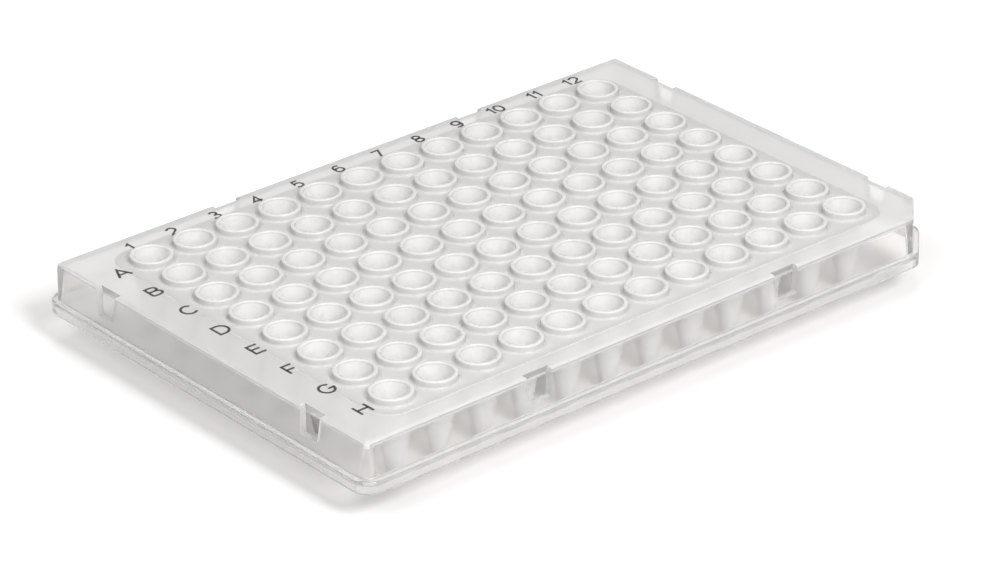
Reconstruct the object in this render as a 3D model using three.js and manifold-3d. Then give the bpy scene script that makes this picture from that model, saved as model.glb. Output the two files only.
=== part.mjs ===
// A low-profile 96-well plate with a half skirt, moulded in two materials. Millimetres, +Z up.
// The origin lies on the resting plane under the middle of the plate, +X runs along a row from
// column 1 to column 12, and +Y runs along a column from row H to row A. The wells reach below
// the skirt, so the plate stands on their ends. All heights are measured from the foot of the
// skirt, and the finished plate is raised onto the resting plane at the end.
import * as THREE from "three";
import { mergeVertices } from "three/addons/utils/BufferGeometryUtils.js";
import Module from "manifold-3d";

const wasm = await Module();
wasm.setup();

// Well grid.
const COLUMNS = 12;
const ROWS = 8;
const WELL_PITCH = 9;
const WELL_SIDES = 10;

// Well section: a raised rim above the deck, and below it a tapered tube with a flat end. The
// bore keeps an even wall and ends in a cone.
const RIM_HEIGHT = 1.25;
const RIM_FOOT_RADIUS = 3.95;
const RIM_TOP_RADIUS = 3.7;
const BORE_MOUTH_RADIUS = 3;
const BORE_FLOOR_RADIUS = 1.1;
const BORE_CONE_HEIGHT = 0.7;
const WELL_WALL = 0.5;
const TUBE_REACH = 5.6;

// Sheet that joins the wells, and the seat that it lies on round the window of the deck.
const SHEET_THICKNESS = 0.6;
const SHEET_MARGIN = 5.6;
const SHEET_CORNER_RADIUS = 4.5;
const SHEET_GAP = 0.25;
const SEAT_WIDTH = 1.2;

// Footprint and flange.
const PLATE_LENGTH = 127.76;
const PLATE_WIDTH = 85.48;
const FLANGE_HEIGHT = 2.41;
const FLANGE_CORNER_RADIUS = 3.3;
const LEDGE_WIDTH = 1.1;
const CORNER_CUT = 7.3;

// Skirt and deck.
const DECK_HEIGHT = 8.65;
const DECK_THICKNESS = 1.2;
const DECK_CORNER_RADIUS = 0.6;
const SKIRT_WALL = 1.1;
const SKIRT_DRAFT = 0.55;
const INSIDE_CORNER_RADIUS = 1;
const EDGE_BREAK = 0.3;
const CORNER_SEGMENTS = 3;

// Notches in the skirt, two to each side, in line with the gaps between wells.
const NOTCH_PITCHES_FROM_MIDDLE = 3;
const NOTCH_WIDTH_AT_DECK = 5.3;
const NOTCH_WIDTH_AT_SILL = 4.2;
const NOTCH_SILL_HEIGHT = 3.9;

// How far a cutting solid reaches past the face that it opens.
const CUT_OVERRUN = 1;

const clearPolycarbonate = new THREE.MeshStandardMaterial({
  color: 0xe4e5e8,
  roughness: 0.08,
  metalness: 0,
  transparent: true,
  opacity: 0.5,
});
const frostedPolypropylene = new THREE.MeshStandardMaterial({
  color: 0xf1f1f0,
  roughness: 0.4,
  metalness: 0,
});

// Heights that follow from the sizes above.
const underDeck = DECK_HEIGHT - DECK_THICKNESS;
const seatHeight = DECK_HEIGHT - SHEET_THICKNESS;
const rimTop = DECK_HEIGHT + RIM_HEIGHT;
const tubeEnd = -TUBE_REACH;
const boreTip = tubeEnd + WELL_WALL;
const boreFloor = boreTip + BORE_CONE_HEIGHT;

// Insets of the skirt's outer face from the footprint.
const skirtFootInset = LEDGE_WIDTH;
const skirtTopInset = LEDGE_WIDTH + SKIRT_DRAFT;

function solidFrom(geometry) {
  const bare = geometry.clone();
  bare.deleteAttribute("normal");
  bare.deleteAttribute("uv");
  const merged = mergeVertices(bare);
  const faces = [];
  for (let i = 0; i < merged.index.count; i += 3) {
    const corners = [0, 1, 2].map((k) => merged.index.getX(i + k));
    if (new Set(corners).size === corners.length) faces.push(...corners);
  }
  return new wasm.Manifold(
    new wasm.Mesh({
      numProp: 3,
      vertProperties: new Float32Array(merged.attributes.position.array),
      triVerts: new Uint32Array(faces),
    }),
  );
}

function namedMesh(name, solid, material) {
  const { vertProperties, triVerts } = solid.getMesh();
  const geometry = new THREE.BufferGeometry();
  geometry.setAttribute("position", new THREE.BufferAttribute(vertProperties, 3));
  geometry.setIndex(new THREE.BufferAttribute(triVerts, 1));
  geometry.computeVertexNormals();
  const mesh = new THREE.Mesh(geometry, material);
  mesh.name = name;
  return mesh;
}

// The points of a convex outline whose corners, given counter-clockwise, are rounded.
function roundedOutline(corners, radius) {
  const path = new THREE.Path();
  const quarterTurn = Math.PI / 2;
  corners.forEach((corner, i) => {
    const arriving = corner.clone().sub(corners.at(i - 1)).normalize();
    const leaving = corners[(i + 1) % corners.length].clone().sub(corner).normalize();
    const inward = new THREE.Vector2(-arriving.y, arriving.x);
    const setback = radius * Math.tan(arriving.angleTo(leaving) / 2);
    const centre = corner.clone().addScaledVector(arriving, -setback).addScaledVector(inward, radius);
    const start = arriving.angle() - quarterTurn;
    const end = leaving.angle() - quarterTurn;
    path.absarc(centre.x, centre.y, radius, start, end);
  });
  return path.getPoints(CORNER_SEGMENTS);
}

// The footprint moved inwards. Its corner beside well H12 is cut off, and the cut face can keep
// an inset of its own.
function plateOutline(inset, radius, cutInset = inset) {
  const halfLength = PLATE_LENGTH / 2 - inset;
  const halfWidth = PLATE_WIDTH / 2 - inset;
  const cutLine = (PLATE_LENGTH + PLATE_WIDTH) / 2 - CORNER_CUT - cutInset * Math.SQRT2;
  const corners = [
    new THREE.Vector2(-halfLength, halfWidth),
    new THREE.Vector2(-halfLength, -halfWidth),
    new THREE.Vector2(cutLine - halfWidth, -halfWidth),
    new THREE.Vector2(halfLength, halfLength - cutLine),
    new THREE.Vector2(halfLength, halfWidth),
  ];
  return roundedOutline(corners, radius);
}

// The outline of the sheet moved outwards, or inwards where the offset is negative.
function sheetOutline(offset) {
  const halfLength = ((COLUMNS - 1) * WELL_PITCH) / 2 + SHEET_MARGIN + offset;
  const halfWidth = ((ROWS - 1) * WELL_PITCH) / 2 + SHEET_MARGIN + offset;
  const corners = [
    new THREE.Vector2(halfLength, halfWidth),
    new THREE.Vector2(-halfLength, halfWidth),
    new THREE.Vector2(-halfLength, -halfWidth),
    new THREE.Vector2(halfLength, -halfWidth),
  ];
  return roundedOutline(corners, SHEET_CORNER_RADIUS + offset);
}

// A closed solid through [height, outline] sections from the bottom up. Each outline has as many
// points, and two sections at one height make a flat step.
function loft(sections) {
  const count = sections[0][1].length;
  const positions = sections.flatMap(([z, outline]) => outline.flatMap(({ x, y }) => [x, y, z]));
  const top = (sections.length - 1) * count;
  const faces = [];
  for (let ring = 0; ring < top; ring += count) {
    for (let i = 0; i < count; i++) {
      const a = ring + i;
      const b = ring + ((i + 1) % count);
      faces.push(a, b, b + count, a, b + count, a + count);
    }
  }
  const bottomCap = THREE.ShapeUtils.triangulateShape(sections[0][1], []);
  const topCap = THREE.ShapeUtils.triangulateShape(sections.at(-1)[1], []);
  bottomCap.forEach(([a, b, c]) => faces.push(c, b, a));
  topCap.forEach(([a, b, c]) => faces.push(top + a, top + b, top + c));
  const geometry = new THREE.BufferGeometry();
  geometry.setAttribute("position", new THREE.Float32BufferAttribute(positions, 3));
  geometry.setIndex(faces);
  return solidFrom(geometry);
}

// A turned form about +Z from [radius, height] points that start and end on the axis.
function turned(profile) {
  const points = profile.map(([radius, height]) => new THREE.Vector2(radius, height));
  return new THREE.LatheGeometry(points, WELL_SIDES).rotateX(Math.PI / 2);
}

// Outside of the frame: a flange with a ledge on top, then a skirt that leans in up to the deck.
function frameShell() {
  const brokenRadius = FLANGE_CORNER_RADIUS - EDGE_BREAK;
  const footRadius = FLANGE_CORNER_RADIUS - LEDGE_WIDTH;
  const skirtTop = plateOutline(skirtTopInset, DECK_CORNER_RADIUS, skirtFootInset);
  const deckEdge = plateOutline(
    skirtTopInset + EDGE_BREAK,
    DECK_CORNER_RADIUS - EDGE_BREAK,
    skirtFootInset + EDGE_BREAK,
  );
  return loft([
    [0, plateOutline(0, FLANGE_CORNER_RADIUS)],
    [FLANGE_HEIGHT - EDGE_BREAK, plateOutline(0, FLANGE_CORNER_RADIUS)],
    [FLANGE_HEIGHT, plateOutline(EDGE_BREAK, brokenRadius)],
    [FLANGE_HEIGHT, plateOutline(skirtFootInset, footRadius)],
    [DECK_HEIGHT - EDGE_BREAK, skirtTop],
    [DECK_HEIGHT, deckEdge],
  ]);
}

// Hollow of the frame, open below. It steps out behind the ledge, so that the wall stays even.
function frameHollow() {
  const shoulder = FLANGE_HEIGHT - SKIRT_WALL;
  const flangeInside = plateOutline(SKIRT_WALL, FLANGE_CORNER_RADIUS - SKIRT_WALL);
  return loft([
    [-CUT_OVERRUN, flangeInside],
    [shoulder, flangeInside],
    [shoulder, plateOutline(skirtFootInset + SKIRT_WALL, INSIDE_CORNER_RADIUS)],
    [underDeck, plateOutline(skirtTopInset + SKIRT_WALL, INSIDE_CORNER_RADIUS)],
  ]);
}

// Window of the deck below the seat, and the recess above it that takes the sheet.
function deckWindow() {
  return loft([
    [underDeck - CUT_OVERRUN, sheetOutline(-SEAT_WIDTH)],
    [seatHeight, sheetOutline(-SEAT_WIDTH)],
    [seatHeight, sheetOutline(SHEET_GAP)],
    [DECK_HEIGHT + CUT_OVERRUN, sheetOutline(SHEET_GAP)],
  ]);
}

// A notch through one wall of the skirt: open at the top, and narrower at its sill.
function notch(halfExtent, along, turn) {
  const outline = new THREE.Shape([
    new THREE.Vector2(-NOTCH_WIDTH_AT_SILL / 2, NOTCH_SILL_HEIGHT),
    new THREE.Vector2(NOTCH_WIDTH_AT_SILL / 2, NOTCH_SILL_HEIGHT),
    new THREE.Vector2(NOTCH_WIDTH_AT_DECK / 2, DECK_HEIGHT),
    new THREE.Vector2(NOTCH_WIDTH_AT_DECK / 2, DECK_HEIGHT + CUT_OVERRUN),
    new THREE.Vector2(-NOTCH_WIDTH_AT_DECK / 2, DECK_HEIGHT + CUT_OVERRUN),
    new THREE.Vector2(-NOTCH_WIDTH_AT_DECK / 2, DECK_HEIGHT),
  ]);
  const reach = skirtTopInset + SKIRT_WALL;
  const block = new THREE.ExtrudeGeometry(outline, { depth: reach + CUT_OVERRUN, bevelEnabled: false });
  block.rotateX(Math.PI / 2).translate(along, reach - halfExtent, 0).rotateZ(turn);
  return solidFrom(block);
}

function buildFrame() {
  let frame = frameShell().subtract(frameHollow()).subtract(deckWindow());
  const along = NOTCH_PITCHES_FROM_MIDDLE * WELL_PITCH;
  const sides = [PLATE_WIDTH, PLATE_LENGTH, PLATE_WIDTH, PLATE_LENGTH];
  sides.forEach((extent, side) => {
    for (const offset of [-along, along]) {
      frame = frame.subtract(notch(extent / 2, offset, (side * Math.PI) / 2));
    }
  });
  return frame;
}

// The bore widens evenly from its floor to its mouth.
function boreRadius(height) {
  const share = (height - boreFloor) / (rimTop - boreFloor);
  return BORE_FLOOR_RADIUS + share * (BORE_MOUTH_RADIUS - BORE_FLOOR_RADIUS);
}

// Outside of one well. Its tube meets the rim inside the thickness of the sheet.
function wellBody() {
  const insideSheet = (seatHeight + DECK_HEIGHT) / 2;
  return turned([
    [0, tubeEnd],
    [boreRadius(tubeEnd) + WELL_WALL, tubeEnd],
    [boreRadius(insideSheet) + WELL_WALL, insideSheet],
    [RIM_FOOT_RADIUS, insideSheet],
    [RIM_FOOT_RADIUS, DECK_HEIGHT],
    [RIM_TOP_RADIUS, rimTop],
    [0, rimTop],
  ]);
}

function wellBore() {
  const above = rimTop + CUT_OVERRUN;
  return turned([
    [0, boreTip],
    [BORE_FLOOR_RADIUS, boreFloor],
    [boreRadius(above), above],
    [0, above],
  ]);
}

function buildWellSheet() {
  let sheet = loft([
    [seatHeight, sheetOutline(0)],
    [DECK_HEIGHT, sheetOutline(0)],
  ]);
  const body = wellBody();
  const bore = wellBore();
  for (let row = 0; row < ROWS; row++) {
    for (let column = 0; column < COLUMNS; column++) {
      const x = (column - (COLUMNS - 1) / 2) * WELL_PITCH;
      const y = ((ROWS - 1) / 2 - row) * WELL_PITCH;
      sheet = sheet.add(solidFrom(body.clone().translate(x, y, 0)));
      sheet = sheet.subtract(solidFrom(bore.clone().translate(x, y, 0)));
    }
  }
  return sheet;
}

const wellPlate = new THREE.Group();
wellPlate.add(namedMesh("skirted_frame", buildFrame(), clearPolycarbonate));
wellPlate.add(namedMesh("well_sheet", buildWellSheet(), frostedPolypropylene));
wellPlate.position.z = TUBE_REACH;

export default wellPlate;
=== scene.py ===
"""The looks of a low-profile 96-well plate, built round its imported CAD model.

Metres, in the frame of the CAD: the origin on the table under the middle of the plate, +X from
column 1 to column 12, +Y from row H to row A, +Z up. The plate stands on the ends of its tubes.
The sizes of the plate are in millimetres, and its heights are measured from the foot of the
skirt, which lies BASE above the table.
"""

import math

import bmesh
import bpy
import numpy as np
from mathutils import Matrix, Vector
from mathutils.geometry import delaunay_2d_cdt


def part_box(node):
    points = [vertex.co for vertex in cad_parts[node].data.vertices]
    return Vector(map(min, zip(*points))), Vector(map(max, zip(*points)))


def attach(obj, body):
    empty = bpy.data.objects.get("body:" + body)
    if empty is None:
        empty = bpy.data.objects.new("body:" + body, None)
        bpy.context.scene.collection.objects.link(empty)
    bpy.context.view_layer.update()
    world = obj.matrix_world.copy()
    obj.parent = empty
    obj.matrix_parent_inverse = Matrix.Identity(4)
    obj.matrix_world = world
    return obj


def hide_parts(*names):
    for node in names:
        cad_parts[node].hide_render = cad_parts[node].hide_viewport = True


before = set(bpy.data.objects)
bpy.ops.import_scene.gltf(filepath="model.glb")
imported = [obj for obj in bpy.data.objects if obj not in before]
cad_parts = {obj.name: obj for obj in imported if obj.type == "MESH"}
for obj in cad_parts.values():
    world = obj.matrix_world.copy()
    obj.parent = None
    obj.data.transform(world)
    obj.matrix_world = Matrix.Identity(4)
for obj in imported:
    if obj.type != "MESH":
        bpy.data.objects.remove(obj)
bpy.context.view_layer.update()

MM = 0.001

# Sizes in millimetres that the CAD boxes don't give.
COLUMNS, ROWS, PITCH = 12, 8, 9.0
FLANGE_HEIGHT, FLANGE_RADIUS, LEDGE, CORNER_CUT = 2.41, 3.3, 1.1, 7.3
DECK_THICKNESS, SKIRT_WALL, DRAFT = 1.2, 1.1, 0.55
SHEET_THICKNESS, SHEET_MARGIN, SHEET_RADIUS, SHEET_GAP, SEAT = 0.6, 5.6, 4.5, 0.03, 1.2
RIM_HEIGHT, RIM_FOOT, RIM_TOP = 1.25, 3.85, 3.76
BORE_MOUTH, BORE_WAIST, BORE_FLOOR = 3.0, 2.6, 0.9
TUBE_HEAD, TUBE_WAIST, TUBE_TIP, WAIST_HEIGHT, TIP_ROUND = 3.12, 2.95, 1.25, 4.2, 0.6
NOTCH_PITCHES, NOTCH_TOP, NOTCH_SILL, SILL_HEIGHT = 3, 5.3, 4.2, 3.9

# Radii of the small edges and inner corners.
FOOT_EDGE, FLANGE_EDGE, LEDGE_EDGE, DECK_EDGE, INNER_EDGE = 0.2, 0.35, 0.18, 0.32, 0.3
DECK_RADIUS, INNER_RADIUS, SHOULDER_BREAK, NOTCH_BREAK = 0.75, 1.0, 0.15, 0.25
RIM_EDGE, RIM_FILLET, TUBE_FILLET, FLOOR_HEIGHT, FLOOR_DEPTH = 0.26, 0.45, 0.4, 1.2, 0.7

# The band of the skirt under the deck's edge, which is as hazy as the end walls.
EDGE_BAND = 1.0

# How far a cutting solid reaches past the face that it opens.
CUT_OVERRUN = 1.0

# Facets of the round forms.
CORNER_STEPS, EDGE_STEPS, UPPER_SIDES, LOWER_SIDES = 10, 4, 36, 24

# Print: height and pen of the row letters and of the column numbers, and where they stand. All
# of it is turned a little on the deck. The gap between two digits is in units of their height.
PRINT_TURN = math.radians(0.5)
LETTER_HEIGHT, LETTER_PEN, LETTER_X, LETTER_RISE = 2.76, 0.46, -55.85, 0.45
NUMBER_HEIGHT, NUMBER_PEN, NUMBER_Y, NUMBER_SHIFT = 2.34, 0.44, 38.2, 0.4
DIGIT_GAP, INK_LIFT, INK_THICKNESS = 0.34, 0.01, 0.015

# Shares of light: from the sky, and glowing out of the floor where the camera sees it straight
# on and through the plastic.
SKY_LIGHT, FLOOR_GLOW, FLOOR_GLOW_THROUGH = 0.24, 0.2, 0.22

# Slots of the frame's and of the wells' materials.
CLEAR_SKIRT, MATT_DECK, HAZY_FLANGE, HAZY_WALL = range(4)
BORE, WEB, RIM_WALL, TUBE = range(4)

frame_low, frame_high = (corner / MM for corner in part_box("skirted_frame"))
LENGTH, WIDTH = frame_high.x - frame_low.x, frame_high.y - frame_low.y
BASE = frame_low.z
DECK = frame_high.z - BASE
RIM = DECK + RIM_HEIGHT
UNDER_DECK = DECK - DECK_THICKNESS
SHEET_FLOOR = DECK - SHEET_THICKNESS

scene = bpy.context.scene


# ---------------------------------------------------------------- materials


def new_material(name):
    material = bpy.data.materials.new(name)
    material.use_nodes = True
    tree = material.node_tree
    tree.nodes.clear()
    return material, tree


def node(tree, kind, **values):
    """A new node. Each value goes to the input or else to the setting of that name."""
    made = tree.nodes.new(kind)
    for key, value in values.items():
        if key in made.inputs:
            made.inputs[key].default_value = value
        else:
            setattr(made, key, value)
    return made


def highest(tree, outputs):
    """The highest of several outputs."""
    factor = outputs[0]
    for output in outputs[1:]:
        either = node(tree, "ShaderNodeMath", operation="MAXIMUM")
        tree.links.new(factor, either.inputs[0])
        tree.links.new(output, either.inputs[1])
        factor = either.outputs[0]
    return factor


def noise(tree, scale, detail, low, high):
    """A noise in object space, whose middle range is mapped onto the range from low to high."""
    place = node(tree, "ShaderNodeTexCoord")
    cloud = node(tree, "ShaderNodeTexNoise", Scale=scale, Detail=detail)
    spread = node(tree, "ShaderNodeMapRange")
    spread.inputs["From Min"].default_value = 0.3
    spread.inputs["From Max"].default_value = 0.7
    spread.inputs["To Min"].default_value = low
    spread.inputs["To Max"].default_value = high
    tree.links.new(place.outputs["Object"], cloud.inputs["Vector"])
    tree.links.new(cloud.outputs["Fac"], spread.inputs["Value"])
    return spread.outputs["Result"]


def noisy_colour(tree, scale, dark, light):
    """A colour that drifts between two others."""
    shade = node(tree, "ShaderNodeMix", data_type="RGBA")
    shade.inputs["A"].default_value = dark
    shade.inputs["B"].default_value = light
    tree.links.new(noise(tree, scale, 3, 0, 1), shade.inputs["Factor"])
    return shade.outputs["Result"]


def let_light_through(tree, shader, passing, rays):
    """Puts a Transparent shader in for the named kinds of ray, so that light passes the plastic."""
    path = node(tree, "ShaderNodeLightPath")
    clear = node(tree, "ShaderNodeBsdfTransparent", Color=(passing, passing, passing, 1))
    mix = node(tree, "ShaderNodeMixShader")
    tree.links.new(highest(tree, [path.outputs[ray] for ray in rays]), mix.inputs[0])
    tree.links.new(shader, mix.inputs[1])
    tree.links.new(clear.outputs[0], mix.inputs[2])
    return mix.outputs[0]


def finish_material(tree, shader):
    out = node(tree, "ShaderNodeOutputMaterial")
    tree.links.new(shader, out.inputs["Surface"])


def warm(grey):
    return (grey, grey * 0.988, grey * 0.978, 1)


def clear_plastic(name, grey, clarity, roughness, passing):
    """Moulded clear plastic with a faint unevenness in its polish.

    What isn't clear is haze, which glows on both sides of a face, a third as much behind it.
    The last value is the share of light that one face lets through onto what lies behind.
    """
    material, tree = new_material(name)
    behind = (1 - clarity) / 3
    plastic = node(tree, "ShaderNodeBsdfPrincipled", IOR=1.5)
    plastic.inputs["Base Color"].default_value = warm(grey)
    plastic.inputs["Transmission Weight"].default_value = 1 - (1 - clarity) / (1 - behind)
    tree.links.new(noise(tree, 90, 2, *roughness), plastic.inputs["Roughness"])
    haze = node(tree, "ShaderNodeBsdfTranslucent", Color=warm(grey))
    mix = node(tree, "ShaderNodeMixShader")
    mix.inputs[0].default_value = behind
    tree.links.new(plastic.outputs[0], mix.inputs[1])
    tree.links.new(haze.outputs[0], mix.inputs[2])
    rays = ("Is Shadow Ray", "Is Diffuse Ray")
    finish_material(tree, let_light_through(tree, mix.outputs[0], passing, rays))
    return material


def milky_plastic(name, greys, passing):
    """Natural polypropylene: white, waxy, and lit through its walls."""
    material, tree = new_material(name)
    plastic = node(tree, "ShaderNodeBsdfPrincipled", IOR=1.49)
    plastic.inputs["Specular IOR Level"].default_value = 0.5
    colour = noisy_colour(tree, 240, warm(greys[0]), warm(greys[1]))
    tree.links.new(colour, plastic.inputs["Base Color"])
    tree.links.new(noise(tree, 700, 2, 0.25, 0.33), plastic.inputs["Roughness"])
    plastic.inputs["Subsurface Weight"].default_value = 1
    plastic.inputs["Subsurface Radius"].default_value = (1, 1, 1)
    plastic.inputs["Subsurface Scale"].default_value = 0.7 * MM
    shader = let_light_through(tree, plastic.outputs[0], passing, ("Is Shadow Ray",))
    finish_material(tree, shader)
    return material


def print_ink(name):
    """Matt black ink, a little thin in places."""
    material, tree = new_material(name)
    ink = node(tree, "ShaderNodeBsdfPrincipled", Roughness=0.6)
    colour = noisy_colour(tree, 900, (0.012, 0.012, 0.013, 1), (0.045, 0.045, 0.047, 1))
    tree.links.new(colour, ink.inputs["Base Color"])
    finish_material(tree, ink.outputs[0])
    return material


def pale_paper(name):
    """The floor. It glows a little for the camera, so that it comes out white."""
    material, tree = new_material(name)
    paper = node(tree, "ShaderNodeBsdfPrincipled", Roughness=0.55)
    paper.inputs["Base Color"].default_value = (0.9, 0.885, 0.88, 1)
    paper.inputs["Specular IOR Level"].default_value = 0.2
    path = node(tree, "ShaderNodeLightPath")
    seen = node(tree, "ShaderNodeMath", operation="MULTIPLY")
    seen.inputs[1].default_value = FLOOR_GLOW
    tree.links.new(path.outputs["Is Camera Ray"], seen.inputs[0])
    strength = node(tree, "ShaderNodeMath", operation="MULTIPLY_ADD")
    strength.inputs[1].default_value = FLOOR_GLOW_THROUGH
    tree.links.new(path.outputs["Is Transmission Ray"], strength.inputs[0])
    tree.links.new(seen.outputs[0], strength.inputs[2])
    glow = node(tree, "ShaderNodeEmission", Color=(1, 0.95, 0.94, 1))
    tree.links.new(strength.outputs[0], glow.inputs["Strength"])
    both = node(tree, "ShaderNodeAddShader")
    tree.links.new(paper.outputs[0], both.inputs[0])
    tree.links.new(glow.outputs[0], both.inputs[1])
    finish_material(tree, both.outputs[0])
    return material


# ---------------------------------------------------------------- outlines and solids


def rounded(corners, radius):
    """A convex outline, given counter-clockwise, with rounded corners."""
    points = []
    count = len(corners)
    for i, corner in enumerate(corners):
        here = Vector(corner)
        arriving = (here - Vector(corners[i - 1])).normalized()
        leaving = (Vector(corners[(i + 1) % count]) - here).normalized()
        inward = Vector((-arriving.y, arriving.x))
        turn = math.acos(max(-1, min(1, arriving.dot(leaving))))
        centre = here - arriving * radius * math.tan(turn / 2) + inward * radius
        start = math.atan2(arriving.y, arriving.x) - math.pi / 2
        for k in range(CORNER_STEPS + 1):
            angle = start + turn * k / CORNER_STEPS
            x = centre.x + radius * math.cos(angle)
            y = centre.y + radius * math.sin(angle)
            points.append((x, y))
    return points


def plate_outline(inset, radius, cut_inset=None):
    """The footprint moved inwards, with the corner beside well H12 cut off."""
    cut_inset = inset if cut_inset is None else cut_inset
    x, y = LENGTH / 2 - inset, WIDTH / 2 - inset
    cut = (LENGTH + WIDTH) / 2 - CORNER_CUT - cut_inset * math.sqrt(2)
    corners = [(-x, y), (-x, -y), (cut - y, -y), (x, x - cut), (x, y)]
    return rounded(corners, radius)


def sheet_outline(offset):
    """The outline of the sheet moved outwards, or inwards where the offset is negative."""
    x = (COLUMNS - 1) * PITCH / 2 + SHEET_MARGIN + offset
    y = (ROWS - 1) * PITCH / 2 + SHEET_MARGIN + offset
    return rounded([(x, y), (-x, y), (-x, -y), (x, -y)], SHEET_RADIUS + offset)


def mesh_object(name, vertices, faces):
    """A new object from points in millimetres, with heights from the foot of the skirt."""
    mesh = bpy.data.meshes.new(name)
    mesh.from_pydata([(Vector(v) + Vector((0, 0, BASE))) * MM for v in vertices], [], faces)
    made = bpy.data.objects.new(name, mesh)
    scene.collection.objects.link(made)
    return made


def loft(name, sections):
    """A closed solid through (height, outline) sections from the bottom up."""
    count = len(sections[0][1])
    vertices = [(x, y, z) for z, outline in sections for x, y in outline]
    faces = [list(range(count))[::-1]]
    for ring in range(len(sections) - 1):
        for i in range(count):
            a, b = ring * count + i, ring * count + (i + 1) % count
            faces.append([a, b, b + count, a + count])
    top = (len(sections) - 1) * count
    faces.append([top + i for i in range(count)])
    return mesh_object(name, vertices, faces)


def fillet(inset, height, radius, kind):
    """Insets and heights round a small edge. kind is where the curve runs, from the bottom up."""
    made = []
    for k in range(EDGE_STEPS + 1):
        t = math.pi / 2 * k / EDGE_STEPS
        across, along = radius * (1 - math.sin(t)), radius * (1 - math.cos(t))
        if kind == "foot":  # from a flat underside out to an upright face
            made.append((inset + across, height + along))
        elif kind == "top":  # from an upright face in to a flat top
            made.append((inset + along, height - across))
        else:  # "inside": from a flat ledge up to an upright face
            made.append((inset - across, height + along))
    return made


def apply_modifiers(solid):
    bpy.context.view_layer.update()
    evaluated = solid.evaluated_get(bpy.context.evaluated_depsgraph_get())
    mesh = bpy.data.meshes.new_from_object(evaluated)
    solid.modifiers.clear()
    solid.data = mesh


def cut_away(solid, cutter):
    modifier = solid.modifiers.new("cut", "BOOLEAN")
    modifier.operation = "DIFFERENCE"
    modifier.solver = "EXACT"
    modifier.object = cutter
    apply_modifiers(solid)
    bpy.data.objects.remove(cutter)


def shade(solid, sharp_degrees):
    """Smooth shading that keeps flat faces flat and edges sharp."""
    built = bmesh.new()
    built.from_mesh(solid.data)
    bmesh.ops.remove_doubles(built, verts=built.verts, dist=1e-7)
    bmesh.ops.recalc_face_normals(built, faces=built.faces)
    limit = math.radians(sharp_degrees)
    for face in built.faces:
        face.smooth = True
    for edge in built.edges:
        edge.smooth = len(edge.link_faces) == 2 and edge.calc_face_angle() < limit
    built.to_mesh(solid.data)
    built.free()
    weighted = solid.modifiers.new("normals", "WEIGHTED_NORMAL")
    weighted.mode = "FACE_AREA"
    weighted.weight = 100
    weighted.keep_sharp = True
    apply_modifiers(solid)


# ---------------------------------------------------------------- frame


def frame_shell():
    """The outside of the frame: a flange with a ledge, and a skirt that leans in to the deck."""
    edges = fillet(0, 0, FOOT_EDGE, "foot")
    edges += fillet(0, FLANGE_HEIGHT, FLANGE_EDGE, "top")
    edges += fillet(LEDGE, FLANGE_HEIGHT, LEDGE_EDGE, "inside")
    sections = [(z, plate_outline(inset, FLANGE_RADIUS - inset)) for inset, z in edges]
    lean = DRAFT / (DECK - FLANGE_HEIGHT)
    band = LEDGE + DRAFT - lean * EDGE_BAND
    sections.append((DECK - EDGE_BAND, plate_outline(band, DECK_RADIUS, LEDGE)))
    for upright_inset, z in fillet(LEDGE + DRAFT, DECK, DECK_EDGE, "top"):
        inset = upright_inset - lean * (DECK - z)
        radius = DECK_RADIUS - 0.4 * (inset - LEDGE - DRAFT)
        sections.append((z, plate_outline(inset, radius, upright_inset - DRAFT)))
    return loft("frame_shell", sections)


def frame_hollow():
    """The inside of the frame, open below. It steps out behind the ledge."""
    shoulder = FLANGE_HEIGHT - SKIRT_WALL
    radius = FLANGE_RADIUS - SKIRT_WALL
    behind = plate_outline(SKIRT_WALL, radius)
    broken = plate_outline(SKIRT_WALL + SHOULDER_BREAK, radius - SHOULDER_BREAK)
    sections = [
        (-CUT_OVERRUN, behind),
        (shoulder - SHOULDER_BREAK, behind),
        (shoulder, broken),
        (shoulder, plate_outline(LEDGE + SKIRT_WALL, INNER_RADIUS)),
    ]
    for inset, z in fillet(LEDGE + DRAFT + SKIRT_WALL, UNDER_DECK, INNER_EDGE, "top"):
        sections.append((z, plate_outline(inset, INNER_RADIUS)))
    return loft("frame_hollow", sections)


def deck_window():
    """The window of the deck, with the recess above its seat that takes the sheet."""
    sections = [
        (UNDER_DECK - CUT_OVERRUN, sheet_outline(-SEAT)),
        (SHEET_FLOOR, sheet_outline(-SEAT)),
        (SHEET_FLOOR, sheet_outline(SHEET_GAP)),
        (DECK + CUT_OVERRUN, sheet_outline(SHEET_GAP)),
    ]
    return loft("deck_window", sections)


def notches():
    """All eight wall notches as one cutting solid. Their cheeks flare a little at the deck."""
    sill_end = NOTCH_SILL / 2 - NOTCH_BREAK
    cheek = [
        (NOTCH_SILL / 2, SILL_HEIGHT + NOTCH_BREAK),
        (NOTCH_TOP / 2 - 0.1, DECK - 0.3),
        (NOTCH_TOP / 2 + 0.2, DECK + 0.5),
    ]
    profile = [(-sill_end, SILL_HEIGHT), (sill_end, SILL_HEIGHT)]
    profile += cheek + [(-x, z) for x, z in reversed(cheek)]
    reach = LEDGE + DRAFT + SKIRT_WALL
    count = len(profile)
    vertices, faces = [], []
    for side, extent in enumerate((WIDTH, LENGTH, WIDTH, LENGTH)):
        turn = Matrix.Rotation(side * math.pi / 2, 3, "Z")
        for along in (-NOTCH_PITCHES * PITCH, NOTCH_PITCHES * PITCH):
            first = len(vertices)
            for y in (-extent / 2 - CUT_OVERRUN, -extent / 2 + reach):
                vertices += [turn @ Vector((along + x, y, z)) for x, z in profile]
            near = [first + i for i in range(count)]
            far = [i + count for i in near]
            faces += [near, far[::-1]]
            for i in range(count):
                j = (i + 1) % count
                faces.append([near[j], near[i], far[i], far[j]])
    return mesh_object("notches", vertices, faces)


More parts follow.
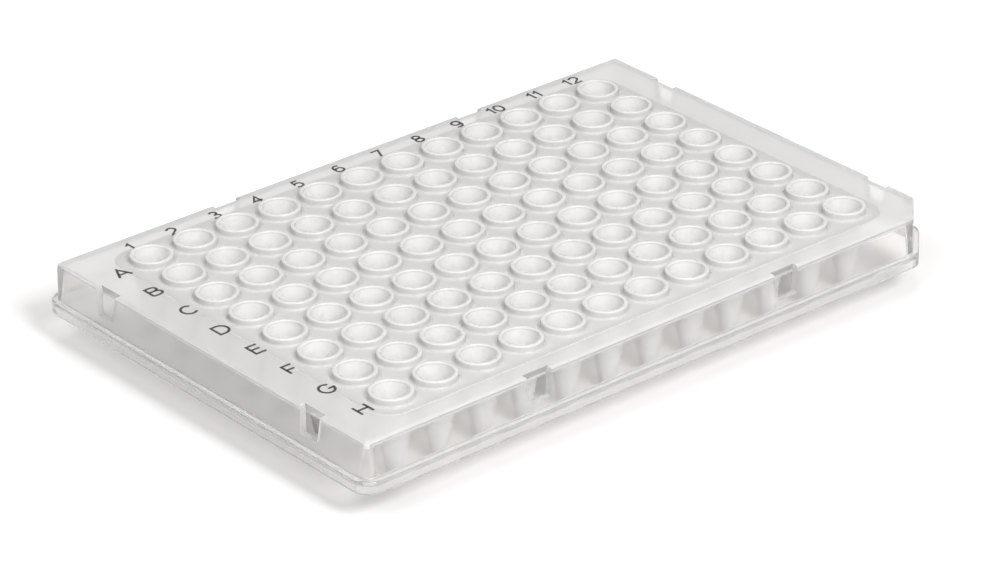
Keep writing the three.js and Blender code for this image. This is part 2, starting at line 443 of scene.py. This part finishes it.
def notch_face(normal, x, y):
    """True for the cheeks and the sill of a notch, which face along the wall or up."""
    wall_reach = 3.5
    on_long_wall = abs(y) > WIDTH / 2 - wall_reach
    on_short_wall = abs(x) >= LENGTH / 2 - wall_reach
    if not (on_long_wall or on_short_wall):
        return False
    along, facing = (x, normal.x) if on_long_wall else (y, normal.y)
    in_line = abs(abs(along) - NOTCH_PITCHES * PITCH) < NOTCH_TOP / 2 + 0.1
    return in_line and (abs(facing) > 0.7 or normal.z > 0.7)


def frame_slot(centre, normal):
    """The material of one face: the deck and the notches, the flange, or the hazy walls.

    Only the skirt of the front, under its top band, stays as clear as glass.
    """
    x, y, height = centre
    near_deck = height > DECK - EDGE_BAND
    on_notch = height > SILL_HEIGHT - 0.1 and notch_face(normal, x, y)
    if near_deck and normal.z > 0.1 or on_notch:
        return MATT_DECK
    if height < FLANGE_HEIGHT + 0.05:
        return HAZY_FLANGE
    on_end_wall = abs(normal.x) > 0.2
    on_back_wall = normal.y > 0.2 and y > 0
    return HAZY_WALL if on_end_wall or on_back_wall or near_deck else CLEAR_SKIRT


def build_frame():
    shell = frame_shell()
    for cutter in (frame_hollow(), deck_window(), notches()):
        cut_away(shell, cutter)
    shade(shell, 24)
    shell.name = "clear_skirted_frame"
    shell.data.materials.clear()
    for material in (
        clear_plastic("clear_polycarbonate", 0.98, 0.94, roughness=(0.1, 0.14), passing=0.87),
        clear_plastic("matt_deck", 1.0, 0.58, roughness=(0.11, 0.17), passing=0.45),
        clear_plastic("hazy_flange", 1.0, 0.83, roughness=(0.14, 0.18), passing=0.4),
        clear_plastic("hazy_end_wall", 1.0, 0.79, roughness=(0.15, 0.21), passing=0.4),
    ):
        shell.data.materials.append(material)
    for polygon in shell.data.polygons:
        centre = polygon.center / MM - Vector((0, 0, BASE))
        polygon.material_index = frame_slot(centre, polygon.normal)
    return shell


# ---------------------------------------------------------------- wells


def bore_radius(z):
    """The bore narrows a little down to the waist of the tube, and below it like a cone."""
    if z > WAIST_HEIGHT:
        return BORE_WAIST + (z - WAIST_HEIGHT) / (RIM - WAIST_HEIGHT) * (BORE_MOUTH - BORE_WAIST)
    return BORE_FLOOR + (z + BASE) / (WAIST_HEIGHT + BASE) * (BORE_WAIST - BORE_FLOOR)


def arc(centre_r, centre_z, radius, start, end, steps):
    """Profile points (radius, height) on an arc from one angle to another, in degrees."""
    made = []
    for k in range(steps + 1):
        angle = math.radians(start + (end - start) * k / steps)
        made.append((centre_r + radius * math.cos(angle), centre_z + radius * math.sin(angle)))
    return made


def upper_profile():
    """One well from the web up over the rim and down the bore to its rounded floor."""
    points = arc(RIM_FOOT + RIM_FILLET, DECK + RIM_FILLET, RIM_FILLET, 270, 184, 5)
    points += arc(RIM_TOP - RIM_EDGE, RIM - RIM_EDGE, RIM_EDGE, 4, 90, 5)
    mouth = BORE_MOUTH + 0.12
    points += [(mouth + 0.05, RIM), (mouth - 0.02, RIM - 0.03), (BORE_MOUTH + 0.02, RIM - 0.15)]
    floor = FLOOR_HEIGHT - BASE
    for z in (RIM - 0.4, RIM - 3, WAIST_HEIGHT + 0.3, WAIST_HEIGHT - 0.3, floor):
        points.append((bore_radius(z), z))
    for degrees in (30, 60):
        angle = math.radians(degrees)
        radius, drop = bore_radius(floor) * math.cos(angle), FLOOR_DEPTH * math.sin(angle)
        points.append((radius, floor - drop))
    points.append((0, floor - FLOOR_DEPTH))
    return points


def lower_profile():
    """The outside of one tube from the web down to its rounded tip on the table."""
    points = arc(TUBE_HEAD + TUBE_FILLET, SHEET_FLOOR - TUBE_FILLET, TUBE_FILLET, 90, 174, 3)
    points.append((TUBE_WAIST + 0.02, WAIST_HEIGHT + 0.4))
    points.append((TUBE_WAIST - 0.07, WAIST_HEIGHT - 0.4))
    low = TIP_ROUND - BASE
    for degrees in (0, 22.5, 45, 67.5):
        angle = math.radians(degrees)
        points.append((TUBE_TIP * math.cos(angle), low - TIP_ROUND * math.sin(angle)))
    points.append((0, low - TIP_ROUND))
    return points


def circle(centre, radius, sides):
    """Points on a circle."""
    angles = [2 * math.pi * k / sides for k in range(sides)]
    return [(centre[0] + radius * math.cos(a), centre[1] + radius * math.sin(a)) for a in angles]


def revolve(profile, sides, centre, vertices, faces, flip):
    """Adds a turned surface to the lists, from its outer ring in to a point on the axis."""
    first = len(vertices)
    rings = len(profile) - 1
    for radius, z in profile[:-1]:
        vertices += [(x, y, z) for x, y in circle(centre, radius, sides)]
    tip = len(vertices)
    vertices.append((centre[0], centre[1], profile[-1][1]))
    for ring in range(rings):
        for k in range(sides):
            a, b = first + ring * sides + k, first + ring * sides + (k + 1) % sides
            face = [a, b, tip] if ring == rings - 1 else [a, b, b + sides, a + sides]
            faces.append(face[::-1] if flip else face)


def web_face(z, sides, radius, centres, up):
    """A flat face of the sheet with a round hole at each well, as triangles."""
    loops = [sheet_outline(0)] + [circle(centre, radius, sides) for centre in centres]
    points, edges = [], []
    for loop in loops:
        first, count = len(points), len(loop)
        points += [Vector(point) for point in loop]
        edges += [(first + i, first + (i + 1) % count) for i in range(count)]
    found = delaunay_2d_cdt(points, edges, [], 0, 1e-6)
    flat, triangles = found[0], found[2]
    hole_reach = radius * math.cos(math.pi / sides) - 1e-4
    grid = np.array(centres)
    kept = []
    for triangle in triangles:
        middle = np.mean([flat[i] for i in triangle], axis=0)
        if np.hypot(*(grid - middle).T).min() > hole_reach:
            kept.append(list(triangle) if up else list(triangle)[::-1])
    return [(v[0], v[1], z) for v in flat], kept


def web_edge(vertices, faces):
    """Adds the upright edge of the sheet to the lists."""
    outline = sheet_outline(0)
    first, count = len(vertices), len(outline)
    vertices += [(x, y, z) for z in (SHEET_FLOOR, DECK) for x, y in outline]
    for i in range(count):
        j = (i + 1) % count
        faces.append([first + i, first + j, first + count + j, first + count + i])


def well_slot(centre, mark):
    """The material of one face. The rim's wall is thicker than the rest of the bore's side, but its
    darker grey is painted shade, and the lighter grey of the bore is painted light.
    """
    if mark != BORE:
        return mark
    x, y = (centre[k] % PITCH - PITCH / 2 for k in (0, 1))
    on_top = centre.z > RIM - 0.35
    outside = centre.z > DECK and math.hypot(x, y) > BORE_MOUTH + 0.05
    return RIM_WALL if on_top or outside else BORE


def build_wells():
    centres = [
        ((column - (COLUMNS - 1) / 2) * PITCH, ((ROWS - 1) / 2 - row) * PITCH)
        for row in range(ROWS)
        for column in range(COLUMNS)
    ]
    above, below = upper_profile(), lower_profile()
    vertices, faces, marks = [], [], []
    for centre in centres:
        revolve(above, UPPER_SIDES, centre, vertices, faces, flip=False)
        marks += [BORE] * (len(faces) - len(marks))
        revolve(below, LOWER_SIDES, centre, vertices, faces, flip=True)
        marks += [TUBE] * (len(faces) - len(marks))
    for z, sides, radius, up in (
        (DECK, UPPER_SIDES, above[0][0], True),
        (SHEET_FLOOR, LOWER_SIDES, below[0][0], False),
    ):
        first = len(vertices)
        points, triangles = web_face(z, sides, radius, centres, up)
        vertices += points
        faces += [[first + i for i in triangle] for triangle in triangles]
    web_edge(vertices, faces)
    marks += [WEB] * (len(faces) - len(marks))
    wells = mesh_object("frosted_wells", vertices, faces)
    # One milky polypropylene in greys by place. The rim's darker grey is painted shade on the rims,
    # and the bore's lighter grey is painted light inside the bores.
    for material in (
        milky_plastic("milky_polypropylene_bore_painted_light", greys=(0.82, 0.86), passing=0.8),
        clear_plastic("thin_polypropylene_web", 0.95, 0.4, roughness=(0.3, 0.4), passing=0.2),
        milky_plastic("milky_polypropylene_rim_painted_shade", greys=(0.67, 0.71), passing=0.5),
        milky_plastic("milky_tube_wall", greys=(0.88, 0.93), passing=0.4),
    ):
        wells.data.materials.append(material)
    for polygon, mark in zip(wells.data.polygons, marks):
        centre = polygon.center / MM - Vector((0, 0, BASE))
        polygon.material_index = well_slot(centre, mark)
    shade(wells, 40)
    return wells


# ---------------------------------------------------------------- print


def curve(cx, cy, rx, ry, start, end, steps=12):
    """Points on an elliptic arc from one angle to another, in degrees."""
    made = []
    for k in range(steps + 1):
        angle = math.radians(start + (end - start) * k / steps)
        made.append((cx + rx * math.cos(angle), cy + ry * math.sin(angle)))
    return made


# Each character is a list of pen strokes in units of its height.
GLYPHS = {
    "A": [[(0, 0), (0.47, 1), (0.94, 0)], [(0.15, 0.32), (0.79, 0.32)]],
    "B": [
        [(0, 0), (0, 1), (0.4, 1)] + curve(0.4, 0.765, 0.3, 0.235, 90, -90) + [(0, 0.53)],
        [(0.4, 0.53)] + curve(0.44, 0.265, 0.33, 0.265, 90, -90) + [(0, 0)],
    ],
    "C": [curve(0.48, 0.5, 0.48, 0.5, 46, 314, 20)],
    "D": [[(0, 0), (0, 1), (0.36, 1)] + curve(0.36, 0.5, 0.5, 0.5, 90, -90, 16) + [(0, 0)]],
    "E": [[(0.73, 1), (0, 1), (0, 0), (0.73, 0)], [(0, 0.52), (0.64, 0.52)]],
    "F": [[(0.68, 1), (0, 1), (0, 0)], [(0, 0.5), (0.58, 0.5)]],
    "G": [[(0.56, 0.46), (0.97, 0.46)] + curve(0.49, 0.5, 0.48, 0.5, -5, -314, 20)],
    "H": [[(0, 0), (0, 1)], [(0.8, 0), (0.8, 1)], [(0, 0.52), (0.8, 0.52)]],
    "0": [curve(0.35, 0.5, 0.35, 0.5, 90, 450, 24)],
    "1": [[(0, 0.74), (0.3, 0.98), (0.3, 0)]],
    "2": [curve(0.34, 0.68, 0.33, 0.32, 160, -35) + [(0, 0), (0.7, 0)]],
    "3": [
        curve(0.32, 0.76, 0.28, 0.24, 150, -90) + [(0.24, 0.52)],
        curve(0.32, 0.26, 0.34, 0.26, 90, -150),
    ],
    "4": [[(0.54, 0), (0.54, 1), (0, 0.28), (0.76, 0.28)]],
    "5": [[(0.6, 1), (0.12, 1), (0.06, 0.52)] + curve(0.33, 0.33, 0.34, 0.33, 130, -145)],
    "6": [
        curve(0.35, 0.31, 0.34, 0.31, 90, 450, 20),
        curve(0.38, 0.55, 0.37, 0.45, 50, 190),
    ],
    "7": [[(0, 1), (0.66, 1), (0.24, 0)]],
    "8": [
        curve(0.34, 0.76, 0.28, 0.24, 90, 450, 20),
        curve(0.34, 0.26, 0.34, 0.26, 90, 450, 20),
    ],
    "9": [
        curve(0.35, 0.69, 0.34, 0.31, 90, 450, 20),
        curve(0.32, 0.45, 0.37, 0.45, -130, 10),
    ],
}


def stroke(points, half_width, vertices, faces):
    """Adds a flat ribbon along one pen stroke to the lists, mitred at its corners."""
    touching, least_cosine = 1e-4, 0.45
    path = [Vector(points[0])]
    for point in points[1:]:
        if (Vector(point) - path[-1]).length > touching:
            path.append(Vector(point))
    closed = (path[0] - path[-1]).length < touching
    if closed:
        path.pop()
    first, count = len(vertices), len(path)
    for i, here in enumerate(path):
        ways = []
        if closed or i > 0:
            ways.append((here - path[i - 1]).normalized())
        if closed or i < count - 1:
            ways.append((path[(i + 1) % count] - here).normalized())
        along = sum(ways, Vector((0, 0))).normalized()
        side = Vector((-along.y, along.x))
        cosine = side.dot(Vector((-ways[0].y, ways[0].x)))
        widen = 1 / max(least_cosine, cosine)
        vertices += [here + side * half_width * widen, here - side * half_width * widen]
    for i in range(count if closed else count - 1):
        a, b = first + 2 * i, first + 2 * ((i + 1) % count)
        faces.append([a, a + 1, b + 1, b])


def label(name, text, centre, height, pen):
    """One printed character or number as thin ink on the deck, centred on a point."""
    vertices, faces = [], []
    width = -DIGIT_GAP
    for character in text:
        left = width + DIGIT_GAP
        for points in GLYPHS[character]:
            placed = [((left + x) * height, y * height) for x, y in points]
            stroke(placed, pen / 2, vertices, faces)
        width = left + max(x for points in GLYPHS[character] for x, y in points)
    middle = Vector((width * height / 2, height / 2))
    spin = Matrix.Rotation(PRINT_TURN, 2)
    flat = [spin @ (v - middle) + Vector(centre) for v in vertices]
    made = mesh_object(name, [(v.x, v.y, DECK + INK_LIFT) for v in flat], faces)
    thick = made.modifiers.new("ink", "SOLIDIFY")
    thick.thickness = INK_THICKNESS * MM
    thick.offset = 1
    apply_modifiers(made)
    return made


def build_print():
    """Row letters on the left border and column numbers on the back border."""
    spin = Matrix.Rotation(PRINT_TURN, 2)
    made = []
    for row, letter in enumerate("ABCDEFGH"):
        y = ((ROWS - 1) / 2 - row) * PITCH
        place = spin @ Vector((LETTER_X, y - LETTER_RISE)) + Vector((0, LETTER_RISE))
        made.append(label("row_" + letter, letter, place, LETTER_HEIGHT, LETTER_PEN))
    for column in range(COLUMNS):
        x = (column - (COLUMNS - 1) / 2) * PITCH
        place = spin @ Vector((x + NUMBER_SHIFT, NUMBER_Y))
        number = str(column + 1)
        made.append(label("column_" + number, number, place, NUMBER_HEIGHT, NUMBER_PEN))
    return made


# ---------------------------------------------------------------- floor, light and camera


def build_floor():
    """A wide pale floor, a hair under the tips of the tubes."""
    half, table = 3000, -BASE - 0.02
    corners = [(-half, -half, table), (half, -half, table), (half, half, table), (-half, half, table)]
    made = mesh_object("floor", corners, [[0, 1, 2, 3]])
    made.data.materials.append(pale_paper("pale_floor"))
    return made


def build_world():
    """A sky that looks white, straight on, in reflections and through the plastic."""
    world = bpy.data.worlds.new("studio")
    scene.world = world
    world.use_nodes = True
    tree = world.node_tree
    tree.nodes.clear()
    path = node(tree, "ShaderNodeLightPath")
    rays = ("Is Camera Ray", "Is Glossy Ray", "Is Transmission Ray")
    strength = node(tree, "ShaderNodeMapRange")
    strength.inputs["To Min"].default_value = SKY_LIGHT
    strength.inputs["To Max"].default_value = 1.0
    tree.links.new(highest(tree, [path.outputs[ray] for ray in rays]), strength.inputs["Value"])
    sky = node(tree, "ShaderNodeBackground", Color=(1, 1, 1, 1))
    tree.links.new(strength.outputs["Result"], sky.inputs["Strength"])
    out = node(tree, "ShaderNodeOutputWorld")
    tree.links.new(sky.outputs[0], out.inputs["Surface"])


def softbox(name, azimuth, elevation, size, watts):
    """A square lamp that faces the plate. Azimuth is measured from +X towards +Y, in degrees."""
    distance = 1.2
    a, e = math.radians(azimuth), math.radians(elevation)
    way = Vector((math.cos(a) * math.cos(e), math.sin(a) * math.cos(e), math.sin(e)))
    lamp = bpy.data.lights.new(name, "AREA")
    lamp.shape = "SQUARE"
    lamp.size = size
    lamp.energy = watts
    holder = bpy.data.objects.new(name, lamp)
    scene.collection.objects.link(holder)
    holder.location = way * distance
    holder.rotation_mode = "QUATERNION"
    holder.rotation_quaternion = way.to_track_quat("Z", "Y")


def build_camera(azimuth, elevation, roll, target, distance, lens):
    """A camera that looks at the target. Azimuth is measured from -Y towards +X, in radians."""
    back = Vector(
        (
            math.sin(azimuth) * math.cos(elevation),
            -math.cos(azimuth) * math.cos(elevation),
            math.sin(elevation),
        )
    )
    level = Vector((math.cos(azimuth), math.sin(azimuth), 0))
    upright = back.cross(level)
    right = math.cos(roll) * level + math.sin(roll) * upright
    up = math.cos(roll) * upright - math.sin(roll) * level
    camera_data = bpy.data.cameras.new("camera")
    camera_data.sensor_width = 36
    camera_data.lens = lens
    camera_data.clip_start, camera_data.clip_end = 0.05, 20
    camera = bpy.data.objects.new("camera", camera_data)
    scene.collection.objects.link(camera)
    turned = Matrix((right, up, back)).transposed().to_4x4()
    camera.matrix_world = Matrix.Translation(target + back * distance) @ turned
    return camera


# ---------------------------------------------------------------- the part and its scene

skirted_frame = build_frame()
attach(skirted_frame, "root")
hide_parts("skirted_frame")

wells = build_wells()
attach(wells, "root")
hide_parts("well_sheet")

ink = print_ink("black_ink")
for piece in build_print():
    piece.data.materials.append(ink)
    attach(piece, "root")

floor = build_floor()

build_world()
softbox("back_softbox", 41, 66, size=0.4, watts=1.6)
softbox("front_softbox", -96, 42, size=0.36, watts=10.6)
softbox("left_softbox", -162, 43, size=0.6, watts=5.2)

scene.camera = build_camera(
    math.radians(-40.13),
    math.radians(27.27),
    math.radians(-0.58),
    target=Vector((-0.0119, -0.01379, 0.008 + BASE * MM)),
    distance=0.77382,
    lens=169.21296,
)

scene.view_settings.view_transform = "Standard"
scene.cycles.max_bounces = 16
scene.cycles.transmission_bounces = 14
scene.cycles.transparent_max_bounces = 16
